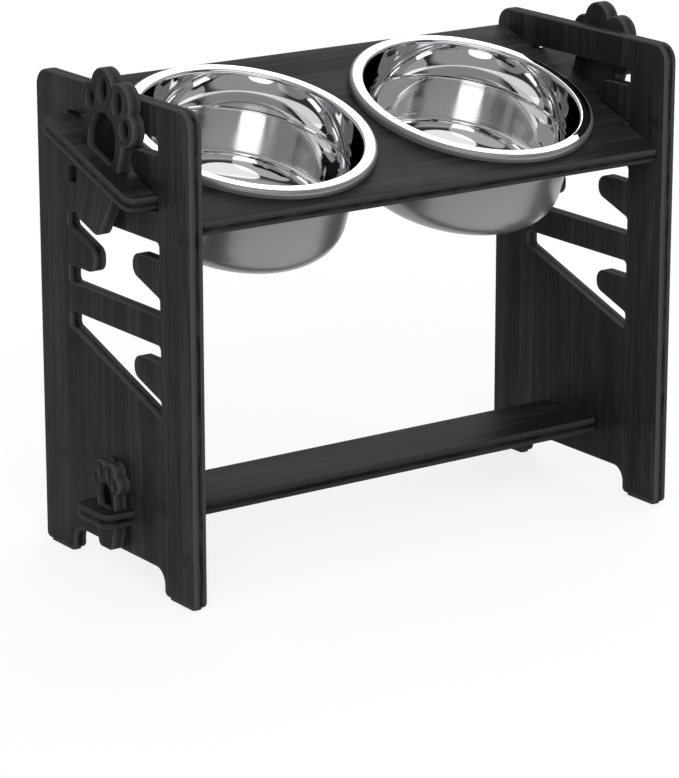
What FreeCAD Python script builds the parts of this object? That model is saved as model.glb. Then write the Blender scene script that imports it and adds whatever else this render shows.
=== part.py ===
import FreeCAD, Part
import math
import os
import re

import Sketcher

# An elevated dog bowl stand. Two upright side panels carry a tilted board with two steel bowls.
# Each panel has three zigzag windows, one above another, which take the board's tongues level or tilted.
# Paw-shaped wedge keys lock the board's tongues and the stretcher's tenons against the panels.
# Frame: X along the stand, front at -Y, Z up, origin on the floor in the middle. Millimetres and degrees.

SIZES = {
    # boards and panels
    "board_thickness": 12,
    "edge_bevel": 1.6,
    "fit_clearance": 0.3,
    # bowls
    "bowl_rim_radius": 104.4,
    "rim_width": 11.4,
    "wall_draft": 2,
    "bowl_wall_radius": "=bowl_rim_radius - rim_width",
    "bowl_foot_radius": "=bowl_wall_radius - wall_draft",
    "bowl_sheet": 1,
    "bowl_depth": 88,
    "bowl_corner_radius": 27,
    "rim_height": 7.2,
    "rim_outer_radius": 3.6,
    "rim_inner_radius": 3,
    "base_inset": 35,
    "base_radius": "=bowl_foot_radius - base_inset",
    "base_recess": 1.5,
    "base_ramp": 3,
    "hole_clearance": 1.5,
    # tilted bowl board
    "bowl_gap": 13.2,
    "bowl_end_gap": 12.6,
    "bowl_margin": 9.6,
    "bowl_spacing": "=2 * bowl_rim_radius + bowl_gap",
    "board_depth": "=2 * (bowl_rim_radius + bowl_margin)",
    "board_tilt": 19,
    "board_corner_radius": 5.5,
    "board_slide": -2.4,
    "tongue_width": 136,
    "tongue_reach": 26,
    "tongue_corner_radius": 9.5,
    # whole stand
    "stand_length": "=bowl_spacing + 2 * (bowl_rim_radius + bowl_end_gap + board_thickness)",
    "stand_depth": 228,
    "stand_height": 400,
    # side panels
    "panel_top_corner_radius": 15,
    "foot_corner_radius": 5,
    "arch_width": 138,
    "arch_height": 22.8,
    "arch_corner_radius": 12,
    # zigzag windows
    "window_width": 137,
    "window_height": 59.2,
    "window_pitch": 83,
    "top_window_drop": 26.8,
    "flat_slot_height": 14.2,
    "tilt_slot_gap": 14.2,
    "nose_reach": 39.5,
    "front_nose_height": 17.2,
    "nose_radius": 9,
    "window_corner_radius": 4,
    "slot_end_radius": 3.5,
    # stretcher
    "stretcher_floor_gap": 48.5,
    "stretcher_width": 72,
    "stretcher_corner_radius": 6,
    "tenon_width": 50,
    "tenon_reach": 26,
    "tenon_corner_radius": 9.5,
    # wedge keys, measured on the large ones
    "key_thickness": 12,
    "key_bevel": 1.2,
    "neck_width": 56,
    "leg_length": 65,
    "leg_tip_width": 34,
    "leg_tip_radius": 8,
    "slot_bite": 1,
    "outer_toe_spread": 25.8,
    "outer_toe_height": 37.3,
    "outer_toe_radius": 14.2,
    "inner_toe_spread": 12.9,
    "inner_toe_height": 53.1,
    "inner_toe_radius": 16.1,
    "outer_hole_spread": 26.2,
    "outer_hole_height": 37.2,
    "outer_hole_width": 13.4,
    "outer_hole_length": 16.4,
    "inner_hole_spread": 11.3,
    "inner_hole_height": 52,
    "inner_hole_width": 14.2,
    "inner_hole_length": 21,
    "palm_hole_height": 36.3,
    "palm_hole_width": 41,
    "palm_hole_base_width": 36,
    "palm_hole_top_width": 29,
    "palm_hole_waist": 13,
    "palm_hole_top_radius": 17,
    "palm_hole_side_radius": 10,
    "palm_hole_base_radius": 3,
    "small_paw_share": 0.545,
    # rubber pads under the feet
    "pad_thickness": 2,
    "pad_corner_radius": 2.5,
}

HANDS = (("left", -1), ("right", 1))
ENDS = (("front", -1), ("rear", 1))
WINDOW_LEVELS = 3
CORNER_STEPS = 5
RIM_STEPS = 3
MOUTH_STEPS = 2
FULL_TURN = 360
QUARTER_TURN = FULL_TURN // 4

doc = FreeCAD.newDocument("dog_bowl_stand")
sheet = doc.addObject("Spreadsheet::Sheet", "Sizes")
for row, (alias, number) in enumerate(SIZES.items(), start=1):
    sheet.set(f"A{row}", alias)
    sheet.set(f"B{row}", str(number))
    sheet.setAlias(f"B{row}", alias)
    doc.recompute()


def size(text):
    """Writes each size's plain name in an expression as its place in the sheet."""
    return re.sub(r"[a-z_]+", lambda word: f"Sizes.{word[0]}" if word[0] in SIZES else word[0], text)


def value(holder, text):
    """The number that an expression over the sheet's sizes comes to."""
    result = holder.evalExpression(size(text))
    return float(getattr(result, "Value", result))


def new_body(label):
    body = doc.addObject("PartDesign::Body", label)
    body.Label = label
    return body


def place(body, across, along, up, tilt=None):
    """Puts a body at three expressions, and leans it back about X by a fourth."""
    lean = size(tilt) if tilt else "0"
    spot = f"vector({size(across)}; {size(along)}; {size(up)})"
    body.setExpression("Placement", f"placement({spot}; rotation(vector(1; 0; 0); {lean} * 1 deg))")


def new_sketch(body, name, plane):
    sketch = body.newObject("Sketcher::SketchObject", name)
    faces = {feature.Role: feature for feature in body.Origin.OriginFeatures}
    sketch.AttachmentSupport = [(faces[plane], "")]
    sketch.MapMode = "FlatFace"
    doc.recompute()
    return sketch


def bind(sketch, kind, *where_and_text):
    """Adds one dimension to a sketch and ties it to an expression."""
    *where, text = where_and_text
    index = sketch.addConstraint(Sketcher.Constraint(kind, *where, value(sketch, text)))
    sketch.setExpression(f"Constraints[{index}]", size(text))


def pin(sketch, item, spot, across, up):
    """Ties one point of a sketch to two expressions, measured from the sketch's origin."""
    origin = (-1, 1)
    if across == "0":
        sketch.addConstraint(Sketcher.Constraint("PointOnObject", item, spot, -2))
    else:
        bind(sketch, "DistanceX", *origin, item, spot, across)
    if up == "0":
        sketch.addConstraint(Sketcher.Constraint("PointOnObject", item, spot, -1))
    else:
        bind(sketch, "DistanceY", *origin, item, spot, up)


def outline(sketch, corners):
    """Draws a closed outline through corners of (across, up, radius), a radius of None being sharp.

    A round corner is an arc tangent to its two sides. Its corner point stays as construction,
    so the dimensions are those of the sharp outline.
    """
    points = [FreeCAD.Vector(value(sketch, a), value(sketch, b), 0) for a, b, _ in corners]
    count = len(points)
    starts, ends, arcs = [], [], []
    for i, (_, _, radius) in enumerate(corners):
        back = (points[i - 1] - points[i]).normalize()
        ahead = (points[(i + 1) % count] - points[i]).normalize()
        if radius is None:
            starts.append(points[i])
            ends.append(points[i])
            arcs.append(None)
            continue
        length = value(sketch, radius)
        half = back.getAngle(ahead) / 2
        reach = length / math.tan(half)
        centre = points[i] + (back + ahead).normalize() * (length / math.sin(half))
        starts.append(points[i] + back * reach)
        ends.append(points[i] + ahead * reach)
        left_turn = back.cross(ahead).z < 0
        first, last = (starts[i], ends[i]) if left_turn else (ends[i], starts[i])
        angles = [math.atan2((p - centre).y, (p - centre).x) for p in (first, last)]
        circle = Part.Circle(centre, FreeCAD.Vector(0, 0, 1), length)
        arcs.append((Part.ArcOfCircle(circle, *angles), left_turn))
    sides = [
        sketch.addGeometry(Part.LineSegment(ends[i], starts[(i + 1) % count]), False)
        for i in range(count)
    ]
    for i, (across, up, radius) in enumerate(corners):
        before, after = sides[i - 1], sides[i]
        if arcs[i] is None:
            sketch.addConstraint(Sketcher.Constraint("Coincident", before, 2, after, 1))
            pin(sketch, after, 1, across, up)
            continue
        arc, left_turn = arcs[i]
        rounded = sketch.addGeometry(arc, False)
        corner = sketch.addGeometry(Part.Point(points[i]), True)
        arriving, leaving = (1, 2) if left_turn else (2, 1)
        pin(sketch, corner, 1, across, up)
        sketch.addConstraint(Sketcher.Constraint("PointOnObject", corner, 1, before))
        sketch.addConstraint(Sketcher.Constraint("PointOnObject", corner, 1, after))
        sketch.addConstraint(Sketcher.Constraint("Tangent", before, 2, rounded, arriving))
        sketch.addConstraint(Sketcher.Constraint("Tangent", after, 1, rounded, leaving))
        bind(sketch, "Radius", rounded, radius)


def circle(sketch, across, up, radius):
    middle = FreeCAD.Vector(value(sketch, across), value(sketch, up), 0)
    ring = Part.Circle(middle, FreeCAD.Vector(0, 0, 1), value(sketch, radius))
    item = sketch.addGeometry(ring, False)
    pin(sketch, item, 3, across, up)
    bind(sketch, "Radius", item, radius)


def upright_ellipse(sketch, across, up, width, length):
    """An ellipse whose long axis stands upright."""
    middle = FreeCAD.Vector(value(sketch, across), value(sketch, up), 0)
    top = middle + FreeCAD.Vector(0, value(sketch, length) / 2, 0)
    side = middle + FreeCAD.Vector(-value(sketch, width) / 2, 0, 0)
    item = sketch.addGeometry(Part.Ellipse(top, side, middle), False)
    sketch.exposeInternalGeometry(item)
    long_axis, short_axis = item + 1, item + 2
    pin(sketch, item, 3, across, up)
    sketch.addConstraint(Sketcher.Constraint("Vertical", long_axis))
    bind(sketch, "Distance", long_axis, length)
    bind(sketch, "Distance", short_axis, width)


def box_outline(sketch, low_across, low_up, high_across, high_up):
    outline(
        sketch,
        [
            (low_across, low_up, None),
            (high_across, low_up, None),
            (high_across, high_up, None),
            (low_across, high_up, None),
        ],
    )


def pad(body, sketch, depth, reverse=False):
    feature = body.newObject("PartDesign::Pad", sketch.Name + "_pad")
    feature.Profile = sketch
    feature.setExpression("Length", size(depth))
    feature.Reversed = reverse
    doc.recompute()
    return feature


def cut_through(body, sketch):
    """Cuts a sketch right through the body, on both sides of its plane."""
    before = body.Shape.Volume
    feature = body.newObject("PartDesign::Pocket", sketch.Name + "_cut")
    feature.Profile = sketch
    feature.Type = "ThroughAll"
    feature.SideType = "Symmetric"
    doc.recompute()
    if body.Shape.Volume >= before:
        raise RuntimeError(f"{sketch.Name} cuts nothing")
    return feature


def bevel_edges(body, name, amount, wanted):
    """Bevels the edges of the body that a test picks out."""
    base = body.Tip
    names = [f"Edge{i}" for i, edge in enumerate(base.Shape.Edges, start=1) if wanted(edge)]
    feature = body.newObject("PartDesign::Chamfer", name)
    feature.Base = (base, names)
    feature.setExpression("Size", size(amount))
    doc.recompute()
    return feature


def lies_flat(edge, axis, levels):
    """Says whether an edge lies in one of the planes at right angles to an axis."""
    low = getattr(edge.BoundBox, axis + "Min")
    high = getattr(edge.BoundBox, axis + "Max")
    return any(abs(low - level) < 1e-4 and abs(high - level) < 1e-4 for level in levels)


# Shared places, as expressions

half_span = "(stand_length / 2 - board_thickness)"
tilt_rise = "tan(board_tilt * 1 deg)"
tilt_cos = "cos(board_tilt * 1 deg)"
tilt_sin = "sin(board_tilt * 1 deg)"
key_start = "(stand_length / 2 + fit_clearance)"
key_end = f"({key_start} + key_thickness)"
top_window = "(stand_height - top_window_drop)"
nose_start = "(window_width / 2 - nose_reach)"
tilted_gap = f"(tilt_slot_gap / {tilt_cos})"
rear_line_drop = f"(flat_slot_height + front_nose_height - {nose_start} * {tilt_rise} + {tilted_gap})"
board_top_rise = f"((board_thickness + fit_clearance) / {tilt_cos})"
board_centre_along = f"(board_slide * {tilt_cos})"
board_centre_up = f"({top_window} - {rear_line_drop} + {board_top_rise} + board_slide * {tilt_sin})"
stretcher_top = "(stretcher_floor_gap + board_thickness)"


def window_outline(sketch, level):
    """One zigzag window: level 0 is the top one, and the lowest ends in one long slope.

    The board's tongue goes in level, above the front nose or below the rear one,
    or tilted, in the sloping gap between the two noses.
    """
    top = f"({top_window} - {level} * window_pitch)"
    end = "(window_width / 2)"
    tip = nose_start
    front_line = f"{top} - flat_slot_height - front_nose_height"
    front_line_at_end = f"({front_line} - nose_reach * {tilt_rise})"
    rear_line_at_end = f"({front_line} + ({tip} + {end}) * {tilt_rise} - {tilted_gap})"
    rear_line_at_tip = f"({front_line} + 2 * {tip} * {tilt_rise} - {tilted_gap})"
    floor = f"({top} - window_height)"
    front_nose = [
        (f"-{end}", front_line_at_end, "slot_end_radius"),
        (f"-{tip}", f"({front_line})", "nose_radius"),
        (f"-{tip}", f"({top} - flat_slot_height)", "nose_radius"),
        (f"-{end}", f"({top} - flat_slot_height)", "slot_end_radius"),
        (f"-{end}", top, "window_corner_radius"),
    ]
    head = [
        (end, top, "window_corner_radius"),
        (end, rear_line_at_end, "slot_end_radius"),
    ]
    if level == WINDOW_LEVELS - 1:
        slope_at_front = f"({front_line_at_end} - {tilted_gap})"
        tail = [(f"-{end}", slope_at_front, "slot_end_radius")]
    else:
        tail = [
            (tip, rear_line_at_tip, "nose_radius"),
            (tip, f"({floor} + flat_slot_height)", "nose_radius"),
            (end, f"({floor} + flat_slot_height)", "slot_end_radius"),
            (end, floor, "slot_end_radius"),
            (f"-{end}", floor, "slot_end_radius"),
        ]
    outline(sketch, head + tail + front_nose)


def side_panel(label, side):
    body = new_body(label)
    face = new_sketch(body, label + "_outline", "YZ_Plane")
    half_depth = "(stand_depth / 2)"
    half_arch = "(arch_width / 2)"
    outline(
        face,
        [
            (f"-{half_depth}", "pad_thickness", "foot_corner_radius"),
            (f"-{half_arch}", "pad_thickness", "foot_corner_radius"),
            (f"-{half_arch}", "arch_height", "arch_corner_radius"),
            (half_arch, "arch_height", "arch_corner_radius"),
            (half_arch, "pad_thickness", "foot_corner_radius"),
            (half_depth, "pad_thickness", "foot_corner_radius"),
            (half_depth, "stand_height", "panel_top_corner_radius"),
            (f"-{half_depth}", "stand_height", "panel_top_corner_radius"),
        ],
    )
    pad(body, face, "board_thickness")
    faces = (0, value(sheet, "board_thickness"))
    bevel_edges(body, label + "_bevel", "edge_bevel", lambda edge: lies_flat(edge, "X", faces))
    for level in range(WINDOW_LEVELS):
        window = new_sketch(body, f"{label}_window_{level + 1}", "YZ_Plane")
        window_outline(window, level)
        cut_through(body, window)
    mortise = new_sketch(body, label + "_mortise", "YZ_Plane")
    box_outline(
        mortise,
        "(-tenon_width / 2 - fit_clearance)",
        "(stretcher_floor_gap - fit_clearance)",
        "(tenon_width / 2 + fit_clearance)",
        "(stretcher_floor_gap + board_thickness + fit_clearance)",
    )
    cut_through(body, mortise)
    place(body, f"{half_span}" if side > 0 else "(-stand_length / 2)", "0", "0")
    return body


def tongued_board(label, depth, corner_radius, tongue, tongue_corner_radius, reach):
    """A board between the panels, with a tongue at each end that goes through its panel."""
    body = new_body(label)
    face = new_sketch(body, label + "_outline", "XY_Plane")
    shoulder = f"({half_span} - fit_clearance)"
    tip = f"(stand_length / 2 + {reach})"
    corners = []
    for across, along in ((-1, -1), (1, -1), (1, 1), (-1, 1)):
        sides = [
            (shoulder, f"({depth} / 2)", corner_radius),
            (shoulder, f"({tongue} / 2)", None),
            (tip, f"({tongue} / 2)", tongue_corner_radius),
        ]
        if across * along > 0:
            sides.reverse()
        corners += [(f"{across} * {x}", f"{along} * {y}", radius) for x, y, radius in sides]
    outline(face, corners)
    pad(body, face, "board_thickness", reverse=True)
    faces = (0, -value(sheet, "board_thickness"))
    bevel_edges(body, label + "_bevel", "edge_bevel", lambda edge: lies_flat(edge, "Z", faces))
    return body


def key_slots(body, neck_half):
    """A slot in each tongue, which starts just inside the panel so that the key bears on the panel."""
    slots = new_sketch(body, body.Label + "_key_slots", "XY_Plane")
    near = "(stand_length / 2 - slot_bite)"
    far = f"({key_end} + fit_clearance)"
    half = f"({neck_half} + fit_clearance)"
    box_outline(slots, near, f"-{half}", far, half)
    box_outline(slots, f"-{far}", f"-{half}", f"-{near}", half)
    cut_through(body, slots)


def bowl_board():
    body = tongued_board(
        "bowl_board",
        "board_depth",
        "board_corner_radius",
        "tongue_width",
        "tongue_corner_radius",
        "tongue_reach",
    )
    holes = new_sketch(body, "bowl_board_holes", "XY_Plane")
    for side in (-1, 1):
        circle(holes, f"({side} * bowl_spacing / 2)", "0", "(bowl_wall_radius + hole_clearance)")
    cut_through(body, holes)
    key_slots(body, "(neck_width / 2)")
    place(body, "0", board_centre_along, board_centre_up, "board_tilt")
    return body


def stretcher():
    body = tongued_board(
        "bottom_stretcher",
        "stretcher_width",
        "stretcher_corner_radius",
        "tenon_width",
        "tenon_corner_radius",
        "tenon_reach",
    )
    key_slots(body, "(small_paw_share * neck_width / 2)")
    place(body, "0", "0", stretcher_top)
    return body


def paw_key(label, side, share, along, up, tilt=None):
    """A wedge key: a tapered leg through the tongue, under a paw with four toes and a palm hole.

    Its face is drawn with the tongue's upper side at height zero, and share sizes it in the plane.
    """
    body = new_body(label)

    def part(text):
        return f"({share} * {text})"

    half_neck = part("neck_width / 2")
    half_tip = part("leg_tip_width / 2")
    leg = new_sketch(body, label + "_leg", "YZ_Plane")
    outline(
        leg,
        [
            (f"-{half_tip}", f"-{part('leg_length')}", part("leg_tip_radius")),
            (half_tip, f"-{part('leg_length')}", part("leg_tip_radius")),
            (half_neck, "0", None),
            (half_neck, part("outer_toe_height"), None),
            (part("inner_toe_spread"), part("inner_toe_height"), None),
            (f"-{part('inner_toe_spread')}", part("inner_toe_height"), None),
            (f"-{half_neck}", part("outer_toe_height"), None),
            (f"-{half_neck}", "0", None),
        ],
    )
    pad(body, leg, "key_thickness")
    for toe in ("outer", "inner"):
        for end, hand in ENDS:
            lobe = new_sketch(body, f"{label}_{end}_{toe}_toe", "YZ_Plane")
            spread = f"{hand} * {part(toe + '_toe_spread')}"
            circle(lobe, spread, part(toe + "_toe_height"), part(toe + "_toe_radius"))
            pad(body, lobe, "key_thickness")
    faces = (0, value(sheet, "key_thickness"))
    bevel = part("key_bevel")
    bevel_edges(body, label + "_bevel", bevel, lambda edge: lies_flat(edge, "X", faces))
    holes = new_sketch(body, label + "_toe_holes", "YZ_Plane")
    for toe in ("outer", "inner"):
        for hand in (-1, 1):
            upright_ellipse(
                holes,
                f"{hand} * {part(toe + '_hole_spread')}",
                part(toe + "_hole_height"),
                part(toe + "_hole_width"),
                part(toe + "_hole_length"),
            )
    cut_through(body, holes)
    palm = new_sketch(body, label + "_palm_hole", "YZ_Plane")
    base = (part("palm_hole_base_width / 2"), "0", part("palm_hole_base_radius"))
    waist = (part("palm_hole_width / 2"), part("palm_hole_waist"), part("palm_hole_side_radius"))
    top = (part("palm_hole_top_width / 2"), part("palm_hole_height"), part("palm_hole_top_radius"))
    rear_half = [base, waist, top]
    front_half = [(f"-{across}", up, radius) for across, up, radius in reversed(rear_half)]
    outline(palm, rear_half + front_half)
    cut_through(body, palm)
    place(body, key_start if side > 0 else f"(-{key_end})", along, up, tilt)
    return body


def quarter_turn(across, up, radius, start, steps):
    """Points on a quarter circle about a centre, anticlockwise from a start angle, joined by short flats."""
    points = []
    for step in range(steps + 1):
        angle = f"({start + QUARTER_TURN * step / steps} * 1 deg)"
        points.append((f"({across} + {radius} * cos{angle})", f"({up} + {radius} * sin{angle})", None))
    return points


def bowl(label, side):
    """A bowl pressed from one sheet: recessed base, round foot, slightly tapered wall, turned-down rim."""
    body = new_body(label)
    profile = new_sketch(body, label + "_profile", "XZ_Plane")
    foot_across = "(bowl_foot_radius - bowl_corner_radius)"
    foot_up = "(-bowl_depth + bowl_corner_radius)"
    foot_inside = "(bowl_corner_radius - bowl_sheet)"
    base_top = "(-bowl_depth + base_recess)"
    ramp_end = "(base_radius + base_ramp)"
    rim_across = "(bowl_rim_radius - rim_outer_radius)"
    rim_up = "(rim_height - rim_outer_radius)"
    rim_underside = "(rim_height - bowl_sheet)"
    mouth_across = "(bowl_wall_radius - bowl_sheet + rim_inner_radius)"
    mouth_up = "(rim_height - rim_inner_radius)"
    lip = "(bowl_rim_radius - bowl_sheet)"
    outer_skin = [
        ("0", base_top, None),
        ("base_radius", base_top, None),
        (ramp_end, "-bowl_depth", None),
        *quarter_turn(foot_across, foot_up, "bowl_corner_radius", -QUARTER_TURN, CORNER_STEPS),
        ("bowl_wall_radius", mouth_up, None),
        (mouth_across, rim_underside, None),
        (rim_across, rim_underside, None),
        (lip, rim_up, None),
        (lip, "fit_clearance", None),
    ]
    mouth_turn = quarter_turn(mouth_across, mouth_up, "rim_inner_radius", QUARTER_TURN, MOUTH_STEPS)
    foot_turn = quarter_turn(foot_across, foot_up, foot_inside, -QUARTER_TURN, CORNER_STEPS)
    inner_skin = [
        ("bowl_rim_radius", "fit_clearance", None),
        *quarter_turn(rim_across, rim_up, "rim_outer_radius", 0, RIM_STEPS),
        *mouth_turn,
        *reversed(foot_turn),
        (ramp_end, "(-bowl_depth + bowl_sheet)", None),
        ("base_radius", f"({base_top} + bowl_sheet)", None),
        ("0", f"({base_top} + bowl_sheet)", None),
    ]
    outline(profile, outer_skin + inner_skin)
    spun = body.newObject("PartDesign::Revolution", label + "_spun")
    spun.Profile = profile
    spun.ReferenceAxis = (profile, ["V_Axis"])
    spun.Angle = FULL_TURN
    place(body, f"({side} * bowl_spacing / 2)", board_centre_along, board_centre_up, "board_tilt")
    doc.recompute()
    return body


def foot_pad(label, side, end):
    """A thin pad on the flat of one foot."""
    body = new_body(label)
    face = new_sketch(body, label + "_outline", "XY_Plane")
    inner = "(arch_width / 2 + foot_corner_radius)"
    outer = "(stand_depth / 2 - foot_corner_radius)"
    near, far = (inner, outer) if end > 0 else (f"-{outer}", f"-{inner}")
    radius = "pad_corner_radius"
    half_width = "(board_thickness / 2 - edge_bevel)"
    outline(
        face,
        [
            (f"-{half_width}", near, radius),
            (half_width, near, radius),
            (half_width, far, radius),
            (f"-{half_width}", far, radius),
        ],
    )
    pad(body, face, "pad_thickness")
    place(body, f"{side} * (stand_length - board_thickness) / 2", "0", "0")
    return body


parts = [bowl_board(), stretcher()]
for hand_name, hand in HANDS:
    parts.append(side_panel(f"{hand_name}_side_panel", hand))
    parts.append(
        paw_key(f"{hand_name}_board_key", hand, "1", board_centre_along, board_centre_up, "board_tilt")
    )
    parts.append(paw_key(f"{hand_name}_stretcher_key", hand, "small_paw_share", "0", stretcher_top))
    parts.append(bowl(f"{hand_name}_bowl", hand))
    for end_name, end in ENDS:
        parts.append(foot_pad(f"{hand_name}_{end_name}_foot_pad", hand, end))
doc.recompute()

for item in doc.Objects:
    if "Invalid" in item.State or "Error" in item.State:
        raise RuntimeError(f"{item.Label} did not build")

os.makedirs("parts", exist_ok=True)
for body in parts:
    if body.Shape.isNull() or not body.Shape.isValid() or len(body.Shape.Solids) != 1:
        raise RuntimeError(f"{body.Label} is not one good solid")
    body.Shape.exportStep(f"parts/{body.Label}.step")
    box = body.Shape.BoundBox
    low = f"{box.XMin:.1f} {box.YMin:.1f} {box.ZMin:.1f}"
    high = f"{box.XMax:.1f} {box.YMax:.1f} {box.ZMax:.1f}"
    print(f"{body.Label}: volume {body.Shape.Volume / 1000:.1f} cm3, from {low} to {high}")
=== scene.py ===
"""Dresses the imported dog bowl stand: stained bamboo boards, paw wedge keys, steel bowls, foot pads, stage."""

import math

import bpy
import numpy as np
from mathutils import Matrix
from mathutils.geometry import tessellate_polygon


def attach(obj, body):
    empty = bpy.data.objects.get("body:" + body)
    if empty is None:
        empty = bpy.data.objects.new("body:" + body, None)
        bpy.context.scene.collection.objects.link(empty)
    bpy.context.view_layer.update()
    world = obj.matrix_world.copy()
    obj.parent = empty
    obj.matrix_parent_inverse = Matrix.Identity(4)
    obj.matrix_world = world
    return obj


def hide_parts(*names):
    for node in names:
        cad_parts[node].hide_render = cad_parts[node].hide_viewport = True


bl_info = {
    "name": "Elevated Dog Bowl Stand",
    "version": (1, 0, 0),
    "blender": (4, 5, 0),
    "location": "3D View > Sidebar > Bowl Stand",
    "description": "Builds the boards, wedge keys, bowls, foot pads and stage of an elevated dog bowl stand",
    "category": "Add Mesh",
}

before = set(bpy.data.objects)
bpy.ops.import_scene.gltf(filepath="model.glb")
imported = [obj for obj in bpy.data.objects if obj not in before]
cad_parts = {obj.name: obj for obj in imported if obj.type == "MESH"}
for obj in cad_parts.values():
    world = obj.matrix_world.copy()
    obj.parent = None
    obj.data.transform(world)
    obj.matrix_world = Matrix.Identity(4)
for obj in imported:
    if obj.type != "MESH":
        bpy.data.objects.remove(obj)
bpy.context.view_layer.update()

HANDS = (("left", -1), ("right", 1))
ENDS = (("front", -1), ("rear", 1))
WINDOW_LEVELS = 3

# directions of across, up and thickness, for a piece that lies flat and for one that stands on its edge
LYING = ((1, 0, 0), (0, 1, 0), (0, 0, 1))
STANDING = ((0, 1, 0), (0, 0, 1), (1, 0, 0))

# how many faces a curve is made of, the rows of points of the bowls' walls and ramps, and the angle from
# which an edge is sharp
BOWL_STEPS = 192
WALL_ROWS = 90
RAMP_ROWS = 9
RIM_ROLL_STEPS = 14
BOARD_HOLE_STEPS = 160
TOE_HOLE_STEPS = 40
TOE_STEPS = (30, 36)
CORNER_STEPS = 7
FINE_CORNER_STEPS = 9
EDGE_STEPS = 4
PAD_EDGE_STEPS = 3
SHARP = math.radians(40)

# two points or two rows of a bowl nearer than this are one, and a triangle with less area is left out
SAME_POINT = 1e-6
SAME_ROW = 2e-5
NO_AREA = 1e-14

# material slots of the record, and the bowls' finishes in the order of their material indices
WOOD, STEEL, RUBBER = "black_stained_wood", "polished_steel", "pad_rubber"
BOWL_FINISHES = ("Polished steel", "Satin steel, painted shade", "Brushed steel")
POLISHED, SHADED_SATIN, BRUSHED = range(3)


def mm(name, number, description):
    """A length that is written in millimetres and kept in metres."""
    look = {"precision": 4, "subtype": "DISTANCE", "unit": "LENGTH"}
    return bpy.props.FloatProperty(name=name, description=description, default=number / 1000, **look)


def toe_sizes(name, numbers, description):
    """The lengths of a toe, written in millimetres and kept in metres."""
    look = {"size": len(numbers), "unit": "LENGTH"}
    metres = [number / 1000 for number in numbers]
    return bpy.props.FloatVectorProperty(name=name, description=description, default=metres, **look)


def share(name, number, description):
    """A part of a whole, from nothing to all of it."""
    look = {"min": 0.0, "max": 1.0, "subtype": "FACTOR"}
    return bpy.props.FloatProperty(name=name, description=description, default=number, **look)


def tint(name, colour, description):
    """A colour of a finish."""
    look = {"size": 3, "min": 0.0, "max": 1.0, "subtype": "COLOR"}
    return bpy.props.FloatVectorProperty(name=name, description=description, default=colour, **look)


class BowlStandBoards(bpy.types.PropertyGroup):
    """Sizes of the two side panels, the bowl board, the stretcher and the foot pads."""

    length: mm("Length", 480, "Over the outer faces of the side panels")
    depth: mm("Depth", 228, "Of the side panels and the bowl board, front to back")
    height: mm("Height", 400, "Of the side panels above the floor")
    thickness: mm("Thickness", 12, "Of every board")
    rounding: mm("Edge rounding", 1.9, "Radius along the edges of the boards")
    top_radius: mm("Top corner", 15, "Radius of the panels' top corners")
    foot_radius: mm("Foot corner", 5, "Radius of the corners of the feet")
    arch_width: mm("Arch width", 138, "Gap between the feet of a panel")
    arch_height: mm("Arch height", 22.8, "Height of that gap above the floor")
    arch_radius: mm("Arch corner", 12, "Radius of the arch's corners")
    board_radius: mm("Board corner", 5.5, "Radius of the bowl board's corners")
    tongue_width: mm("Tongue width", 136, "Of the bowl board's tongues")
    tongue_reach: mm("Tongue reach", 26, "How far the tongues stand out of the panels")
    tongue_radius: mm("Tongue corner", 9.5, "Radius of the tongues' corners")
    board_slide: mm("Board slide", -2.4, "How far the board rests forward of the panels' middle")
    hole_gap: mm("Bowl hole gap", 1.5, "Between the board and a bowl's wall")
    fit: mm("Fit", 0.3, "Clearance between boards")
    tilt: bpy.props.FloatProperty(
        name="Board tilt", description="Slope of the bowl board", default=math.radians(19), subtype="ANGLE"
    )
    stretcher_gap: mm("Stretcher gap", 48.5, "Under the stretcher")
    stretcher_width: mm("Stretcher width", 72, "Front to back")
    stretcher_radius: mm("Stretcher corner", 6, "Radius of the stretcher's corners")
    tenon_width: mm("Tenon width", 50, "Of the stretcher's tenons")
    tenon_radius: mm("Tenon corner", 9.5, "Radius of the tenons' corners")
    pad_height: mm("Pad height", 2, "Of the rubber pads under the feet")
    pad_radius: mm("Pad corner", 2.5, "Radius of the pads' corners")
    pad_inset: mm("Pad inset", 1.6, "Of the pads from the panels' faces")
    pad_rounding: mm("Pad edge", 0.4, "Radius along the edges of the pads")


class BowlStandWindows(bpy.types.PropertyGroup):
    """Sizes of the zigzag windows that take the board's tongues."""

    width: mm("Width", 137, "Of a window")
    height: mm("Height", 59.2, "Of a window")
    pitch: mm("Pitch", 83, "From one window down to the next")
    drop: mm("Drop", 26.8, "From the panel's top to the top window")
    slot: mm("Level slot", 14.2, "Height of the level slots")
    gap: mm("Sloping slot", 14.2, "Across the sloping slot between the noses")
    nose_reach: mm("Nose reach", 39.5, "Of the two noses into the window")
    nose_height: mm("Nose height", 17.2, "Of the front nose at its tip")
    nose_radius: mm("Nose corner", 9, "Radius of the noses' corners")
    corner_radius: mm("Window corner", 4, "Radius of the top corners")
    end_radius: mm("Slot corner", 3.5, "Radius of the slots' ends")
    rounding: mm("Edge rounding", 1, "Radius along the windows' edges")


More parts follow.
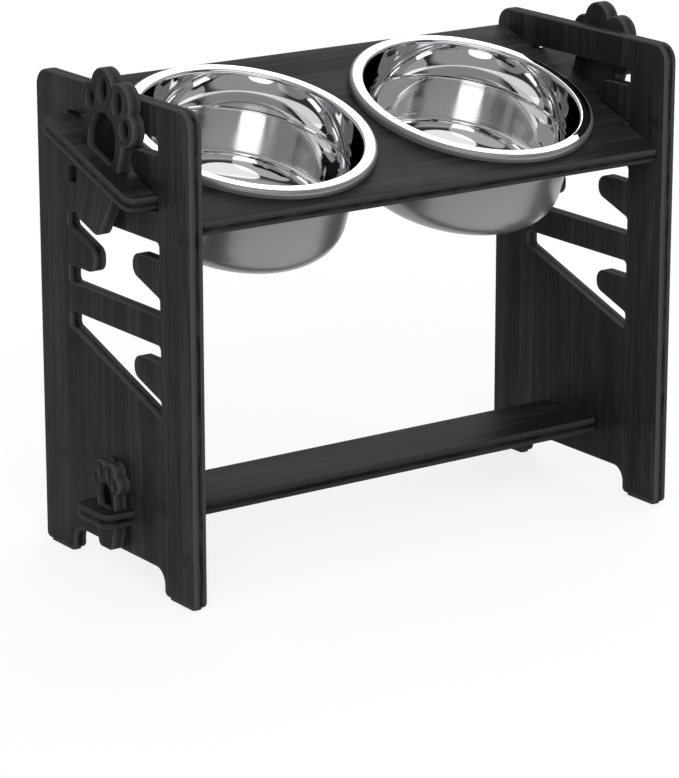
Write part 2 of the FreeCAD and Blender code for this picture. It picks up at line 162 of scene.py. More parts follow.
class BowlStandKeys(bpy.types.PropertyGroup):
    """Sizes of the paw-shaped wedge keys, on the large ones."""

    thickness: mm("Thickness", 12, "Of a key")
    rounding: mm("Edge rounding", 1.7, "Radius along the edges of the keys")
    neck: mm("Neck", 56, "Width where the key passes the tongue")
    leg: mm("Leg", 65, "Length below the tongue's upper face")
    tip: mm("Tip", 34, "Width of the leg's tip")
    tip_radius: mm("Tip corner", 8, "Radius of the tip's corners")
    flank: mm("Flank", 53, "Width of the leg where its sides turn in")
    flank_drop: mm("Flank drop", 31, "How far below the tongue's upper face that is")
    flank_radius: mm("Flank curve", 60, "Radius of that turn")
    slot_bite: mm("Slot bite", 1, "How far the tongues' slots reach into the panels")
    slot_rounding: mm("Slot rounding", 0.4, "Radius along the slots' edges")
    outer_toe: toe_sizes("Outer toe", (25.8, 37.3, 14.2), "Spread, height and radius")
    inner_toe: toe_sizes("Inner toe", (12.9, 53.1, 16.1), "Spread, height and radius")
    outer_hole: toe_sizes("Outer toe hole", (26.2, 37.2, 13.4, 16.4), "Spread, height, width and length")
    inner_hole: toe_sizes("Inner toe hole", (11.3, 52, 14.2, 21), "Spread, height, width and length")
    palm_height: mm("Palm hole height", 36.3, "Of the hole in the paw's palm")
    palm_sink: mm("Palm hole sink", 0.6, "Of its bottom below the tongue's upper face")
    palm_base: mm("Palm hole base", 36, "Width at the bottom")
    palm_waist: mm("Palm hole waist", 41, "Width at its widest")
    palm_top: mm("Palm hole top", 29, "Width at the top")
    palm_waist_height: mm("Palm hole waist height", 13, "Where the hole is widest")
    palm_base_radius: mm("Palm hole bottom corner", 3, "Radius of the corners at the bottom")
    palm_waist_radius: mm("Palm hole waist curve", 10, "Radius of the turn at the widest")
    palm_top_radius: mm("Palm hole top corner", 17, "Radius of the corners at the top")
    recess: mm("Recess", 6.8, "Depth of the toe holes and the palm hole")
    recess_rounding: mm("Recess edge", 0.5, "Radius along the edges of those holes")
    recess_fillet: mm("Recess fillet", 0.5, "Radius round their floors")
    small_share: share("Small key", 0.545, "Size of the stretcher's keys beside the board's keys")
    small_rounding: share("Small key rounding", 0.6, "How far a key's edge rounding follows its size")


class BowlStandBowls(bpy.types.PropertyGroup):
    """Sizes of the pressed steel bowls."""

    spacing: mm("Spacing", 222, "Between the bowls' middles")
    rim_radius: mm("Rim radius", 104.4, "To the outside of the turned-down rim")
    wall_radius: mm("Wall radius", 93, "Outside of the wall at the top")
    foot_radius: mm("Foot radius", 91, "Outside of the wall above the bottom curve")
    depth: mm("Depth", 88, "Below the board's upper face")
    sheet: mm("Sheet", 1, "Thickness of the steel")
    corner: mm("Bottom curve", 27, "Radius of the curve from wall to floor")
    rim_height: mm("Rim height", 7.2, "Of the rim above the board")
    rim_roll: mm("Rim roll", 3.6, "Radius of the rim's outer roll")
    mouth_roll: mm("Mouth roll", 3, "Radius of the rim's inner roll")
    base_radius: mm("Base radius", 56, "Of the recessed base")
    base_recess: mm("Base recess", 1.5, "Height of the recessed base")
    base_ramp: mm("Base ramp", 6, "Width of the ramp round the recessed base")
    crease_drop: mm("Crease drop", 27, "Of the fine crease in the wall, under the board's upper face")
    crease_width: mm("Crease width", 0.8, "Half the width of that crease")
    crease_depth: mm("Crease depth", 0.3, "Of that crease")


class BowlStandFinish(bpy.types.PropertyGroup):
    """Colours of the wood, the steel, the rubber and the stage."""

    stain: tint("Stain", (0.0135, 0.0135, 0.0139), "Black stain on the faces")
    stain_light: tint("Stain, light", (0.050, 0.050, 0.051), "Where the stain is thin: grain and edges")
    stain_dark: tint("Stain, dark", (0.0034, 0.0034, 0.0035), "In pores, knuckles and glue lines")
    steel: tint("Steel", (0.80, 0.80, 0.81), "Polished steel")
    # painted shade: the steel outside the bowls is darkened to stand in for the dim surroundings it reflects
    shaded_satin: tint("Satin steel, painted shade", (0.26, 0.26, 0.265), "Steel outside the bowls, which is left less bright")
    brushed: tint("Brushed steel", (0.86, 0.86, 0.865), "Floor inside the bowls, which is brushed")
    rubber: tint("Rubber", (0.022, 0.022, 0.023), "Foot pads")
    floor: tint("Floor", (0.93, 0.93, 0.93), "Studio floor")


class BowlStandSettings(bpy.types.PropertyGroup):
    """All sizes and colours of the stand."""

    boards: bpy.props.PointerProperty(type=BowlStandBoards, name="Boards", description="Board sizes")
    windows: bpy.props.PointerProperty(type=BowlStandWindows, name="Windows", description="Window sizes")
    keys: bpy.props.PointerProperty(type=BowlStandKeys, name="Keys", description="Key sizes")
    bowls: bpy.props.PointerProperty(type=BowlStandBowls, name="Bowls", description="Bowl sizes")
    finish: bpy.props.PointerProperty(type=BowlStandFinish, name="Finish", description="Colours")


def settings():
    """The stand's sizes and colours in this scene."""
    return bpy.context.scene.bowl_stand


def rounded_loop(corners, steps=CORNER_STEPS):
    """An outline with round corners, anticlockwise round material and clockwise round a hole.

    corners are rows of (across, up, radius). With n1 and n2 the outward normals of a corner's two sides, its
    mitre is (n1 + n2) / (1 + n1.n2). The arc's centre is the corner less radius times the mitre, and its
    points are the centre plus radius times the normal, which turns evenly from n1 to n2. Returns the points,
    and beside each the vector that moves it out by one unit: the normal on an arc, the mitre at a sharp
    corner.
    """
    corners = np.asarray(corners, float)
    point, radius = corners[:, :2], corners[:, 2]
    ahead = np.roll(point, -1, 0) - point
    ahead /= np.linalg.norm(ahead, axis=1, keepdims=True)
    behind = np.roll(ahead, 1, 0)
    turn = np.arctan2(behind[:, 0] * ahead[:, 1] - behind[:, 1] * ahead[:, 0], (behind * ahead).sum(1))
    start = np.arctan2(-behind[:, 0], behind[:, 1])
    angle = start[:, None] + turn[:, None] * np.linspace(0, 1, steps + 1)
    normal = np.stack([np.cos(angle), np.sin(angle)], -1)
    first, last = normal[:, 0], normal[:, -1]
    mitre = (first + last) / (1 + (first * last).sum(1))[:, None]
    signed = (np.sign(turn) * radius)[:, None]
    places = (point - mitre * signed)[:, None] + signed[:, None] * normal
    sharp = radius == 0
    outward = np.where(sharp[:, None, None], mitre[:, None], normal)
    kept = ~sharp[:, None] | (np.arange(steps + 1) == 0)
    return places[kept], outward[kept]


def mirrored(half):
    """Corners of the left half, as a mirror image, and then the given ones of the right half backwards."""
    return [(-across, up, radius) for across, up, radius in half] + half[::-1]


def box_hole(low_across, low_up, high_across, high_up):
    """A clockwise rectangle."""
    across, up = (low_across, low_across, high_across, high_across), (low_up, high_up, high_up, low_up)
    return rounded_loop([*zip(across, up, (0, 0, 0, 0))])


def oval_hole(across, up, width, length, steps):
    """A clockwise ellipse: the centre plus half the width times cosine and half the length times sine."""
    angle = -np.arange(steps) * 2 * math.pi / steps
    ring = np.stack([np.cos(angle), np.sin(angle)], -1)
    inward = -ring * (length, width)
    inward /= np.linalg.norm(inward, axis=1, keepdims=True)
    return (across, up) + ring * (width / 2, length / 2), inward


def arc_loop(centre, radius, start, end, steps):
    """An arc: the centre plus radius times (cosine, sine) from start to end, with its outward normals."""
    angle = np.linspace(start, end, steps + 1)
    normal = np.stack([np.cos(angle), np.sin(angle)], -1)
    return np.asarray(centre) + radius * normal, normal


def joined_loops(parts):
    """Joins runs of points end to end into a closed loop.

    Where two meet in a notch, one point stays, with the mitre of both normals.
    """
    places, outward = [], []
    for points, normals in parts:
        if places and np.linalg.norm(places[-1][-1] - points[0]) < SAME_POINT:
            first, last = outward[-1][-1], normals[0]
            outward[-1] = outward[-1].copy()
            outward[-1][-1] = (first + last) / (1 + first @ last)
            points, normals = points[1:], normals[1:]
        places.append(points)
        outward.append(normals)
    return np.concatenate(places), np.concatenate(outward)


def make_mesh(name, points, squares, triangles, finish=None):
    """A mesh with smooth four-sided faces and flat three-sided ones. finish is each face's material index."""
    mesh = bpy.data.meshes.new(name)
    mesh.vertices.add(len(points))
    mesh.vertices.foreach_set("co", np.asarray(points, np.float32).ravel())
    corners = np.concatenate([squares.ravel(), triangles.ravel()]).astype(np.int32)
    mesh.loops.add(len(corners))
    mesh.loops.foreach_set("vertex_index", corners)
    counts = np.concatenate([np.full(len(squares), 4), np.full(len(triangles), 3)])
    mesh.polygons.add(len(counts))
    mesh.polygons.foreach_set("loop_start", (np.cumsum(counts) - counts).astype(np.int32))
    mesh.polygons.foreach_set("use_smooth", counts == 4)
    mesh.update(calc_edges=True)
    if mesh.validate():
        raise RuntimeError(f"{name} has faulty faces")
    if finish is not None:
        mesh.polygons.foreach_set("material_index", finish.astype(np.int32))
    return mesh


def square_faces(index):
    """Four-sided faces between the neighbouring rows of a grid of points that closes on itself sideways."""
    ahead = np.roll(index, -1, 1)
    return np.stack([index[:-1], ahead[:-1], ahead[1:], index[1:]], -1).reshape(-1, 4)


def edge_rows(thickness, rounding, steps):
    """Rows across a board's rounded edge, as how far each lies in and how high.

    At angle a, from a quarter turn below to a quarter turn above, a row lies in by rounding * (1 - cos a),
    and stands at half the straight side plus rounding * sin a.
    """
    angle = np.linspace(-math.pi / 2, 0, steps + 1)
    angle = np.concatenate([angle, -angle[::-1]])
    side = np.repeat([-1, 1], steps + 1) * (thickness / 2 - rounding)
    return rounding * (1 - np.cos(angle)), side + rounding * np.sin(angle)


def recess_rows(thickness, rounding, steps, depth, fillet):
    """Rows up the wall of a blind recess, from a fillet round its floor to the rounded edge of the face.

    On the fillet at angle a, from a quarter turn to nothing, a row lies out by fillet * (1 - cos a), and
    stands above the floor by fillet * (1 - sin a).
    """
    angle = np.linspace(math.pi / 2, 0, steps + 1)
    inset, height = edge_rows(thickness, rounding, steps)
    inset = np.concatenate([-fillet * (1 - np.cos(angle)), inset[steps + 1 :]])
    floor = thickness / 2 - depth
    return inset, np.concatenate([floor + fillet * (1 - np.sin(angle)), height[steps + 1 :]])


def flat_cap(points, rings, up):
    """Triangles that fill the first ring of points and leave the others open, all facing up or all down."""
    outlines = [[(x, y, 0.0) for x, y in points[ring][:, :2]] for ring in rings]
    triangles = np.concatenate(rings)[np.array(tessellate_polygon(outlines))]
    a, b, c = (points[triangles[:, k]][:, :2] for k in range(3))
    turn = (b[:, 0] - a[:, 0]) * (c[:, 1] - a[:, 1]) - (b[:, 1] - a[:, 1]) * (c[:, 0] - a[:, 0])
    wrong = (turn < 0) == up
    return np.where(wrong[:, None], triangles[:, ::-1], triangles)[np.abs(turn) > NO_AREA]


def slab_mesh(name, loops, thickness, rounding, origin, axes, steps=EDGE_STEPS):
    """A board cut out by loops, with every edge rounded.

    Each loop is moved in and up by the rows of its edge. It may bring a rounding of its own, and after that
    the depth and fillet of a blind recess in the upper face. The flat faces are triangles inside the
    innermost outlines. axes are the directions of across, up and thickness. A recess's floor and fillet get
    the second material, which on the keys is the wood darkened as painted shade.
    """
    points, squares, finish, upper, lower, floors = [], [], [], [], [], []
    count = 0
    for place, outward, *own in loops:
        edge, *blind = own or [rounding]
        inset, height = (recess_rows if blind else edge_rows)(thickness, edge, steps, *blind)
        shape = len(inset), len(place)
        flat = place[None] - inset[:, None, None] * outward[None]
        tall = np.broadcast_to(height[:, None, None], (*shape, 1))
        points.append(np.concatenate([flat, tall], -1).reshape(-1, 3))
        index = count + np.arange(math.prod(shape)).reshape(shape)
        count += index.size
        squares.append(square_faces(index))
        # a recess's fillet rows take the second material, painted shade on the keys
        finish.append(np.arange(len(squares[-1])) < (steps * len(place) if blind else 0))
        upper.append(index[-1])
        (floors if blind else lower).append(index[0])
    points = np.concatenate(points)
    caps = [flat_cap(points, upper, True), flat_cap(points, lower, False)]
    caps += [flat_cap(points, [floor], True) for floor in floors]
    # recess floors take the second material too, painted shade on the keys
    finish += [np.full(len(cap), n > 1) for n, cap in enumerate(caps)]
    places = np.asarray(origin) + points @ np.asarray(axes, float)
    mesh = make_mesh(name, places, np.concatenate(squares), np.concatenate(caps), np.concatenate(finish))
    mesh.set_sharp_from_angle(angle=SHARP)
    return mesh


def spun_mesh(name, profile, finish, centre, axes, steps):
    """A surface of revolution: each profile point (radius, height) goes round the third axis.

    The point at angle a is the centre plus radius * (cos a, sin a) on the first two axes plus height on the
    third. The profile starts and ends on the axis, and each pole is one point with a fan of faces. finish is
    the material index of each ring between two profile points.
    """
    radius, height = profile[1:-1].T[..., None, None]
    angle = np.arange(steps) * 2 * math.pi / steps
    ring = np.stack([np.cos(angle), np.sin(angle)], -1)
    shape = len(radius), steps
    grid = np.concatenate([radius * ring, np.broadcast_to(height, (*shape, 1))], -1).reshape(-1, 3)
    poles = np.insert(profile[[0, -1]], 1, 0, axis=1)
    index = np.arange(math.prod(shape)).reshape(shape)
    ahead = np.roll(index, -1, 1)
    first, last = np.full((2, steps), [[index.size], [index.size + 1]])
    low = np.stack([ahead[0], index[0], first], -1)
    high = np.stack([index[-1], ahead[-1], last], -1)
    places = np.asarray(centre) + np.concatenate([grid, poles]) @ np.asarray(axes, float)
    fans = np.concatenate([low, high])
    rings = np.concatenate([finish[1:-1], finish[[0, -1]]])
    mesh = make_mesh(name, places, square_faces(index), fans, np.repeat(rings, steps))
    mesh.shade_smooth()
    return mesh


def shaded(colour, share=1.0):
    """A share of a colour, with full alpha."""
    return (*(share * part for part in colour), 1)


def new_object(name, data):
    """Puts an object with its data into the scene."""
    thing = bpy.data.objects.new(name, data)
    bpy.context.scene.collection.objects.link(thing)
    return thing


def add_piece(mesh, body, node, slot, *finishes):
    """Puts a mesh into the scene in place of a CAD node, under the mesh's name."""
    piece = new_object(mesh.name, mesh)
    for finish in finishes:
        mesh.materials.append(bpy.data.materials[finish])
    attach(piece, body)
    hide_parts(node)


def tilted_axes(tilt):
    """Directions of a board leaned back about X: across, up its slope, and out of its face."""
    sine, cosine = math.sin(tilt), math.cos(tilt)
    return np.array([(1, 0, 0), (0, cosine, sine), (0, -sine, cosine)])


def board_top():
    """The middle of the tilted board's upper face. The board rests in the top windows' sloping slots."""
    boards, windows = settings().boards, settings().windows
    slope, cosine, sine = math.tan(boards.tilt), math.cos(boards.tilt), math.sin(boards.tilt)
    nose_start = windows.width / 2 - windows.nose_reach
    rear_line = windows.slot + windows.nose_height - nose_start * slope + windows.gap / cosine
    top = boards.height - windows.drop - rear_line + (boards.thickness + boards.fit) / cosine
    return np.array([0, boards.board_slide * cosine, top + boards.board_slide * sine])


def board_middle():
    """The middle of the tilted board."""
    boards = settings().boards
    return board_top() - tilted_axes(boards.tilt)[2] * boards.thickness / 2


def stretcher_middle():
    """The middle of the stretcher."""
    boards = settings().boards
    return np.array([0, 0, boards.stretcher_gap + boards.thickness / 2])


def panel_middle():
    """How far across the middle of a side panel is."""
    boards = settings().boards
    return (boards.length - boards.thickness) / 2


def key_middle():
    """How far across the middle of a key is."""
    boards = settings().boards
    return boards.length / 2 + boards.fit + settings().keys.thickness / 2


def window_corners(level):
    """Corners of one zigzag window, clockwise: the front nose, the head, then the rear nose or the slope."""
    boards, windows = settings().boards, settings().windows
    slope = math.tan(boards.tilt)
    top = boards.height - windows.drop - level * windows.pitch
    end, tip = windows.width / 2, windows.width / 2 - windows.nose_reach
    head = top - windows.slot
    front = head - windows.nose_height
    gap = windows.gap / math.cos(boards.tilt)
    floor = top - windows.height
    end_radius, nose_radius = windows.end_radius, windows.nose_radius
    corners = [
        (-end, front - windows.nose_reach * slope, end_radius),
        (-tip, front, nose_radius),
        (-tip, head, nose_radius),
        (-end, head, end_radius),
        (-end, top, windows.corner_radius),
        (end, top, windows.corner_radius),
        (end, front + (tip + end) * slope - gap, end_radius),
    ]
    if level == WINDOW_LEVELS - 1:
        return corners + [(-end, front - windows.nose_reach * slope - gap, end_radius)]
    return corners + [
        (tip, front + 2 * tip * slope - gap, nose_radius),
        (tip, floor + windows.slot, nose_radius),
        (end, floor + windows.slot, end_radius),
        (end, floor, end_radius),
        (-end, floor, end_radius),
    ]


def panel_loops():
    """A side panel's outline with its foot arch, three windows and mortise, seen from the right."""
    boards = settings().boards
    half, arch, foot = boards.depth / 2, boards.arch_width / 2, boards.pad_height
    right = [
        (half, boards.height, boards.top_radius),
        (half, foot, boards.foot_radius),
        (arch, foot, boards.foot_radius),
        (arch, boards.arch_height, boards.arch_radius),
    ]
    rounding = settings().windows.rounding
    windows = [(*rounded_loop(window_corners(level)), rounding) for level in range(WINDOW_LEVELS)]
    side, low = boards.tenon_width / 2 + boards.fit, boards.stretcher_gap - boards.fit
    mortise = box_hole(-side, low, side, low + boards.thickness + 2 * boards.fit)
    return [rounded_loop(mirrored(right)), *windows, mortise]


def tongued_loops(depth, corner, tongue, tongue_corner, key_width):
    """A board between the panels, its tongues, and the slots that take the keys."""
    boards, keys = settings().boards, settings().keys
    shoulder = boards.length / 2 - boards.thickness - boards.fit
    tip = boards.length / 2 + boards.tongue_reach
    quarter = [(tip, tongue / 2, tongue_corner), (shoulder, tongue / 2, 0), (shoulder, depth / 2, corner)]
    right = quarter[::-1] + [(across, -up, radius) for across, up, radius in quarter]
    near = boards.length / 2 - keys.slot_bite
    far = boards.length / 2 + keys.thickness + 2 * boards.fit
    half = key_width / 2 + boards.fit
    slots = [box_hole(near, -half, far, half), box_hole(-far, -half, -near, half)]
    outline = rounded_loop(mirrored(right), FINE_CORNER_STEPS)
    return [outline, *((*slot, keys.slot_rounding) for slot in slots)]


def bearing(centre, point):
    """The angle of the direction from a centre to a point."""
    return math.atan2(point[1] - centre[1], point[0] - centre[0])


def paw_outline():
    """A large key's outline: a tapered leg under four round toes, which meet in notches.

    The line between two circles' centres crosses the line through their meeting points at
    (apart^2 + r1^2 - r2^2) / (2 * apart) from the first, and they meet at sqrt(r1^2 - that^2) beside it.
    """
    keys = settings().keys
    neck = keys.neck / 2
    half = [
        (neck, 0, 0),
        (keys.flank / 2, -keys.flank_drop, keys.flank_radius),
        (keys.tip / 2, -keys.leg, keys.tip_radius),
    ]
    leg, normals = rounded_loop(mirrored(half), FINE_CORNER_STEPS)
    (*outer, outer_radius), (*inner, inner_radius) = keys.outer_toe, keys.inner_toe
    outer, inner = np.array(outer), np.array(inner)
    apart = np.linalg.norm(inner - outer)
    toward = (inner - outer) / apart
    along = (apart**2 + outer_radius**2 - inner_radius**2) / (2 * apart)
    across = math.sqrt(outer_radius**2 - along**2)
    notch = outer + along * toward + across * np.array([toward[1], -toward[0]])
    crown = (0, inner[1] + math.sqrt(inner_radius**2 - inner[0] ** 2))
    shoulder = outer + (neck - outer[0], -math.sqrt(outer_radius**2 - (neck - outer[0]) ** 2))
    outer_steps, inner_steps = TOE_STEPS
    right = [
        (np.array([(neck, 0), shoulder]), np.array([(1.0, 0.0)] * 2)),
        arc_loop(outer, outer_radius, bearing(outer, shoulder), bearing(outer, notch), outer_steps),
        arc_loop(inner, inner_radius, bearing(inner, notch), bearing(inner, crown), inner_steps),
    ]
    left = [(points[::-1] * (-1, 1), normal[::-1] * (-1, 1)) for points, normal in reversed(right)]
    # the loop's ends are the neck's two corners, which the leg leaves to the straight sides
    return joined_loops([(leg[1:-1], normals[1:-1]), *right, *left])


def paw_loops(scale):
    """A key's outline with the blind recesses of its toes and palm."""
    keys = settings().keys
    palm = [
        (keys.palm_base / 2, -keys.palm_sink, keys.palm_base_radius),
        (keys.palm_waist / 2, keys.palm_waist_height, keys.palm_waist_radius),
        (keys.palm_top / 2, keys.palm_height, keys.palm_top_radius),
    ]
    holes = [
        oval_hole(side * spread, height, width, length, TOE_HOLE_STEPS)
        for spread, height, width, length in (keys.outer_hole, keys.inner_hole)
        for _, side in HANDS
    ]
    holes.append(rounded_loop(mirrored(palm), FINE_CORNER_STEPS))
    outline, outward = paw_outline()
    own = (keys.recess_rounding, keys.recess, keys.recess_fillet)
    return [(outline * scale, outward), *((hole * scale, inward, *own) for hole, inward in holes)]


def wall_rows():
    """The inside of a bowl's wall, from bottom to top, as (radius, height).

    The radius runs straight from foot to mouth, less depth * exp(-(distance / width)^2) for the crease.
    """
    bowls = settings().bowls
    low, high = -bowls.depth + bowls.corner, bowls.rim_height - bowls.mouth_roll
    height = np.linspace(low, high, WALL_ROWS)[1:-1]
    slope = (bowls.wall_radius - bowls.foot_radius) / (high - low)
    crease = bowls.crease_depth * np.exp(-(((height + bowls.crease_drop) / bowls.crease_width) ** 2))
    return np.stack([bowls.foot_radius + slope * (height - low) - bowls.sheet - crease, height], -1)


def bowl_profile():
    """Half a bowl's cross-section as (radius, height) over the board, from under the base to the inside.

    On the ramp round the recessed base, at a share s of its width, the drop is recess * s^2 * (3 - 2s).
    Returns the profile, and the finish of each ring between two of its points: the outside steel, darkened as
    painted shade, up to the top of the rim's outer roll, polished inside, and brushed on the floor.
    """
    bowls, boards = settings().bowls, settings().boards
    sheet, recess = bowls.sheet, bowls.base_recess
    foot = (bowls.foot_radius - bowls.corner, -bowls.depth + bowls.corner)
    rim = (bowls.rim_radius - bowls.rim_roll, bowls.rim_height - bowls.rim_roll)
    mouth = (bowls.wall_radius - sheet + bowls.mouth_roll, bowls.rim_height - bowls.mouth_roll)
    lip = (bowls.rim_radius - sheet / 2, boards.fit + sheet / 2)
    run = np.linspace(0, 1, RAMP_ROWS)
    fall = -bowls.depth + recess * (1 - run * run * (3 - 2 * run))
    ramp = np.stack([bowls.base_radius + bowls.base_ramp * run, fall], -1)
    base = np.array([(0, -bowls.depth + recess), (bowls.base_radius / 2, -bowls.depth + recess)])
    wall = wall_rows()

    def arc(centre, radius, start, end, steps):
        """Points of an arc whose angles are in degrees."""
        return arc_loop(centre, radius, *np.radians((start, end)), steps)[0]

    under = [
        base,
        ramp,
        arc(foot, bowls.corner, -90, 0, 26),
        wall + (sheet, 0),
        arc(mouth, bowls.mouth_roll - sheet, 180, 90, 8),
        arc(rim, bowls.rim_roll - sheet, 90, 0, 10),
        arc(lip, sheet / 2, -180, 0, 8),
    ]
    over = [
        arc(rim, bowls.rim_roll, 0, 90, RIM_ROLL_STEPS),
        arc(mouth, bowls.mouth_roll, 90, 180, 12),
        wall[::-1],
        arc(foot, bowls.corner - sheet, 0, -90, 30),
        ramp[::-1] + (0, sheet),
        base[::-1] + (0, sheet),
    ]
    profile = np.concatenate(under + over)
    # where two runs share a point, one of them stays
    kept = np.insert(np.linalg.norm(np.diff(profile, axis=0), axis=1) > SAME_ROW, 0, True)
    finish = np.full(kept.sum() - 1, POLISHED)
    finish[: kept[: sum(map(len, under)) + RIM_ROLL_STEPS].sum() - 1] = SHADED_SATIN
    finish[-len(ramp) - 1 :] = BRUSHED
    return profile[kept], finish


class Wiring:
    """Adds nodes to one tree, and joins their inputs to outputs or sets them to plain values."""

    def __init__(self, tree):
        self.nodes, self.link = tree.nodes, tree.links.new

    def fill(self, node, inputs):
        """Joins or sets a node's inputs, which are given by name or by number."""
        for place, value in dict(inputs).items():
            if isinstance(value, bpy.types.NodeSocket):
                self.link(value, node.inputs[place])
            else:
                node.inputs[place].default_value = value

    def node(self, kind, inputs=(), **choices):
        """A new node of a kind, with its choices and inputs."""
        node = self.nodes.new("ShaderNode" + kind)
        for name, value in choices.items():
            setattr(node, name, value)
        self.fill(node, inputs)
        return node

    def math(self, operation, *values, clamp=False):
        """A number worked out from others."""
        return self.node("Math", enumerate(values), operation=operation, use_clamp=clamp).outputs[0]

    def axes(self, vector):
        """The three parts of a vector."""
        return self.node("SeparateXYZ", {0: vector}).outputs

    def mask(self, value, low, high):
        """Runs smoothly from 0 at low to 1 at high."""
        inputs = (value, low, high, 0, 1) if low < high else (value, high, low, 1, 0)
        return self.node("MapRange", enumerate(inputs), interpolation_type="SMOOTHSTEP").outputs["Result"]

    def mix(self, factor, first, second):
        """A mix of two colours."""
        return self.node("Mix", {0: factor, 6: first, 7: second}, data_type="RGBA").outputs[2]

    def noise(self, vector, stretch, scale, detail, roughness=0.55):
        """Noise whose spots are drawn out along the axes by a stretch."""
        drawn = self.node("VectorMath", {0: vector, 1: stretch}, operation="MULTIPLY").outputs[0]
        inputs = {"Vector": drawn, "Scale": scale, "Detail": detail, "Roughness": roughness}
        return self.node("TexNoise", inputs).outputs["Fac"]

    def place(self):
        """The point on the piece, in the frame."""
        return self.node("TexCoord").outputs["Object"]

    def bump(self, height, distance, strength):
        """The surface's normal, dented by a height."""
        inputs = {"Height": height, "Distance": distance, "Strength": strength}
        return self.node("Bump", inputs).outputs["Normal"]


def new_material(name):
    """An empty node material. Returns it, its wiring and its shader."""
    material = bpy.data.materials.new(name)
    material.use_nodes = True
    material.node_tree.nodes.clear()
    wiring = Wiring(material.node_tree)
    shader = wiring.node("BsdfPrincipled")
    wiring.node("OutputMaterial", {"Surface": shader.outputs["BSDF"]})
    return material, wiring, shader


def new_group(name, colours, numbers, outputs):
    """A shader node group that takes a vector, colours and numbers, and puts out a colour and numbers."""
    group = bpy.data.node_groups.new(name, "ShaderNodeTree")

    def socket(label, kind, way="INPUT"):
        return group.interface.new_socket(label, in_out=way, socket_type="NodeSocket" + kind)

    socket("Vector", "Vector")
    for label in colours:
        socket(label, "Color")
    for label, default in numbers.items():
        socket(label, "Float").default_value = default
    socket("Color", "Color", "OUTPUT")
    for label in outputs:
        socket(label, "Float", "OUTPUT")
    given, result = group.nodes.new("NodeGroupInput"), group.nodes.new("NodeGroupOutput")
    return Wiring(group), given.outputs, result


def bamboo_group():
    """Stained bamboo: strips side by side, fine grain along Z, and a darker knuckle across each strip."""
    colours, numbers = ("Stain", "Light", "Dark"), {"Strip Width": 0.019, "Knuckle Pitch": 0.26}
    wiring, given, result = new_group("Stained Bamboo", colours, numbers, ("Roughness", "Height"))
    calc, mask, mix = wiring.math, wiring.mask, wiring.mix
    # each noise is drawn out along the grain, and then come its spots to the metre and its detail
    fine, streak, cloud, smudge = (
        wiring.noise(given["Vector"], (1, 1, drawn), *spots)
        for drawn, *spots in ((0.022, 900, 3), (0.03, 210, 2), (0.25, 16, 3), (0.6, 330, 3, 0.7))
    )
    _, across, along = wiring.axes(given["Vector"])
    strip = calc("FLOOR", calc("DIVIDE", across, given["Strip Width"]))
    chance = wiring.node("TexWhiteNoise", {"W": strip}, noise_dimensions="1D").outputs["Value"]
    # knuckles stand a pitch apart, each strip's at its own height, and about a third of the strips have none
    turn = calc("FRACT", calc("ADD", calc("DIVIDE", along, given["Knuckle Pitch"]), chance))
    knuckle = mask(calc("ABSOLUTE", calc("SUBTRACT", turn, 0.5)), 0.034, 0.008)
    knuckle = calc("MULTIPLY", knuckle, mask(smudge, 0.40, 0.66))
    knuckle = calc("MULTIPLY", knuckle, calc("GREATER_THAN", chance, 0.35))
    tone = calc("MULTIPLY_ADD", fine, 0.85, -0.17)
    tone = calc("MULTIPLY_ADD", streak, 0.55, tone)
    tone = calc("MULTIPLY_ADD", cloud, 0.45, tone)
    tone = calc("ADD", tone, calc("MULTIPLY_ADD", chance, 0.22, -0.11))
    colour = mix(calc("MULTIPLY", mask(tone, 0.62, 1.05), 0.5), given["Stain"], given["Light"])
    colour = mix(calc("MULTIPLY", mask(tone, 0.72, 0.42), 0.5), colour, given["Dark"])
    colour = mix(calc("MULTIPLY", knuckle, 0.75), colour, given["Dark"])
    roughness = calc("MULTIPLY_ADD", fine, 0.16, 0.36)
    height = calc("MULTIPLY_ADD", knuckle, 0.5, calc("MULTIPLY_ADD", streak, 0.5, fine))
    wiring.fill(result, {"Color": colour, "Roughness": roughness, "Height": height})


def ply_group():
    """Plywood edges, read through the thickness along X: glue lines, a dark mottled core and a painted
    highlight on the rounded edges.
    """
    colours = ("Color", "Light", "Dark")
    numbers = {"Face": 0.006, "Glue Line": 0.0034, "Core": 0.0018, "Core Strength": 1.0}
    wiring, given, result = new_group("Ply Edge", colours, numbers, ("Edge",))
    calc, mask, mix = wiring.math, wiring.mask, wiring.mix
    depth = calc("ABSOLUTE", wiring.axes(given["Vector"])[0])
    # each mask is in metres from the face, from a glue line or from the core, and the last two wander
    inside = calc("SUBTRACT", given["Face"], depth)
    edge = mask(inside, 0.00003, 0.00010)
    # painted highlight: the rounding next to each face is drawn lighter
    painted_rounding_highlight = mask(inside, 0.0019, 0.0009)
    wander = wiring.noise(given["Vector"], (0.2, 1, 1), 60, 2)
    depth = calc("MULTIPLY_ADD", wander, 0.0005, depth)
    glue = mask(calc("ABSOLUTE", calc("SUBTRACT", depth, given["Glue Line"])), 0.00045, 0.00015)
    core = mask(calc("SUBTRACT", depth, given["Core"]), 0.0005, 0.0002)
    mottle = mask(wiring.noise(given["Vector"], (1, 1, 0.22), 210, 3, 0.6), 0.36, 0.64)
    core = calc("MULTIPLY", core, calc("MULTIPLY_ADD", mottle, 0.36, 0.62))
    core = calc("MULTIPLY", core, given["Core Strength"])
    dark = calc("MAXIMUM", calc("MULTIPLY", glue, 0.45), core)
    # the ply edge takes the light stain at 0.78, and up to 0.98 on the rounding, where the extra is painted
    # highlight
    light = calc("MULTIPLY", edge, calc("MULTIPLY_ADD", painted_rounding_highlight, 0.2, 0.78))
    colour = mix(light, given["Color"], given["Light"])
    wiring.fill(result, {"Color": mix(calc("MULTIPLY", dark, edge), colour, given["Dark"]), "Edge": edge})


